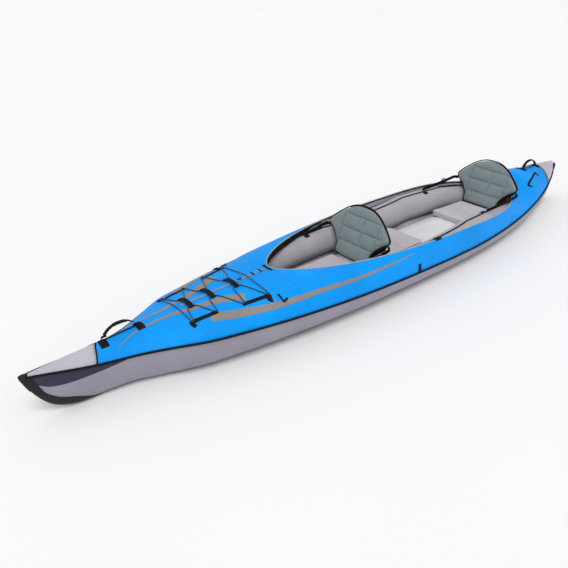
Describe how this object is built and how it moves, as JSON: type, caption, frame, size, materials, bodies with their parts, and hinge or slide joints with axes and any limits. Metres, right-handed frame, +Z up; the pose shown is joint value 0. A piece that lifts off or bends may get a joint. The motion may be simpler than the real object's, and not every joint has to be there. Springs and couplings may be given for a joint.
{
  "type": "inflatable kayak",
  "caption": "Long decked inflatable kayak for two, with side chambers, an inflated floor, an open cockpit, folding seat backs, grab handles and cord lacing on the foredeck.",
  "frame": {"origin": "middle of the object on the ground, under the centre of its bounding box", "axes": "+X towards the bow, +Y to port, +Z up"},
  "size_m": [4.568, 0.8128, 0.4951],
  "materials": {
    "hull_fabric": "grey coated canvas",
    "deck_fabric": "azure coated canvas",
    "tube_fabric": "grey woven cover",
    "aluminium": "brushed",
    "black_plastic": "moulded",
    "black_rubber": "matt",
    "pale_tape": "woven tape",
    "black_webbing": "woven webbing",
    "shock_cord": "braided",
    "steel": "stainless",
    "cushion_fabric": "grey coated canvas",
    "seat_fabric": "slate padded fabric"
  },
  "bodies": {
    "hull": {"aft_deck": "deck_fabric", "bottom_panel": "hull_fabric", "bow_deck": "deck_fabric", "bow_handle_anchors": "black_webbing", "bow_keel_guard": "black_rubber", "bow_nose_cover": "hull_fabric", "bungee_cord": "shock_cord", "bungee_strips": "black_webbing", "centre_cushion": "cushion_fabric", "cockpit_edge_tape": "pale_tape", "cockpit_hem": "black_webbing", "cross_pads": "black_webbing", "deck_ring_tabs": "black_webbing", "deck_zip_tape": "black_webbing", "deck_zip_teeth": "black_plastic", "floor_chamber": "hull_fabric", "front_cushion": "cushion_fabric", "hull_ribs": "aluminium", "paddle_keepers": "black_webbing", "port_foredeck": "deck_fabric", "port_hull_side": "hull_fabric", "port_lower_tube": "tube_fabric", "port_side_deck": "deck_fabric", "port_upper_tube": "tube_fabric", "rear_cushion": "cushion_fabric", "rim_loops": "black_webbing", "seat_straps": "black_webbing", "sheer_piping": "black_webbing", "side_tabs": "black_webbing", "starboard_foredeck": "deck_fabric", "starboard_hull_side": "hull_fabric", "starboard_lower_tube": "tube_fabric", "starboard_side_deck": "deck_fabric", "starboard_upper_tube": "tube_fabric", "stem_plates": "black_plastic", "stern_handle_anchors": "black_webbing", "stern_keel_guard": "black_rubber", "stern_nose_cover": "hull_fabric", "stern_straps": "black_webbing", "strap_anchors": "black_webbing", "strap_buckles": "black_plastic", "tracking_fin": "black_plastic", "tube_crest_piping": "black_webbing", "valve_bodies": "black_plastic", "zip_end_patch": "black_webbing"},
    "front_back": {"front_back_panel": "seat_fabric", "front_back_shell": "black_webbing", "front_back_piping": "black_webbing"},
    "rear_back": {"rear_back_panel": "seat_fabric", "rear_back_shell": "black_webbing", "rear_back_piping": "black_webbing"},
    "bow_handle": {"bow_handle": "black_webbing"},
    "stern_handle": {"stern_handle": "black_webbing"},
    "zip_slider": {"zip_slider": "black_plastic"},
    "zip_pull": {"zip_pull": "black_plastic"},
    "port_cap": {"port_valve_cap": "black_plastic"},
    "starboard_cap": {"starboard_valve_cap": "black_plastic"},
    "floor_cap": {"floor_valve_cap": "black_plastic"},
    "port_ring": {"port_deck_ring": "steel"},
    "starboard_ring": {"starboard_deck_ring": "steel"}
  },
  "joints": [
    {"name": "front_back_fold", "type": "hinge", "parent": "hull", "child": "front_back", "pos_m": [0.115, 0, 0.178], "axis": [0, 1, 0], "range_deg": [-6, 45]},
    {"name": "rear_back_fold", "type": "hinge", "parent": "hull", "child": "rear_back", "pos_m": [-1.255, 0, 0.178], "axis": [0, 1, 0], "range_deg": [-3, 40]},
    {"name": "bow_handle_swing", "type": "hinge", "parent": "hull", "child": "bow_handle", "pos_m": [1.753, 0, 0.30382], "axis": [1, 0, 0], "range_deg": [-50, 50]},
    {"name": "stern_handle_swing", "type": "hinge", "parent": "hull", "child": "stern_handle", "pos_m": [-1.89, 0, 0.344], "axis": [1, 0, 0], "range_deg": [-50, 50]},
    {"name": "zip_slide", "type": "slide", "parent": "hull", "child": "zip_slider", "axis": [-0.9989, 0, 0.0472], "range_m": [-0.385, 0.155]},
    {"name": "zip_pull_flip", "type": "hinge", "parent": "zip_slider", "child": "zip_pull", "pos_m": [1.00043, 0, 0.33474], "axis": [0, -1, 0], "range_deg": [0, 150]},
    {"name": "port_cap_turn", "type": "hinge", "parent": "hull", "child": "port_cap", "pos_m": [-1.33, 0.1629, 0.20871], "axis": [0, -0.866, 0.5], "range_deg": [0, 90]},
    {"name": "starboard_cap_turn", "type": "hinge", "parent": "hull", "child": "starboard_cap", "pos_m": [-1.33, -0.1629, 0.20871], "axis": [0, 0.866, 0.5], "range_deg": [0, 90]},
    {"name": "floor_cap_turn", "type": "hinge", "parent": "hull", "child": "floor_cap", "pos_m": [-1.41, 0, 0.145], "axis": [0, 0, 1], "range_deg": [0, 90]},
    {"name": "port_ring_flip", "type": "hinge", "parent": "hull", "child": "port_ring", "pos_m": [0.9864, 0.25809, 0.29244], "axis": [1, 0, 0], "range_deg": [0, 140]},
    {"name": "starboard_ring_flip", "type": "hinge", "parent": "hull", "child": "starboard_ring", "pos_m": [0.9864, -0.25809, 0.29244], "axis": [-1, 0, 0], "range_deg": [0, 140]}
  ]
}
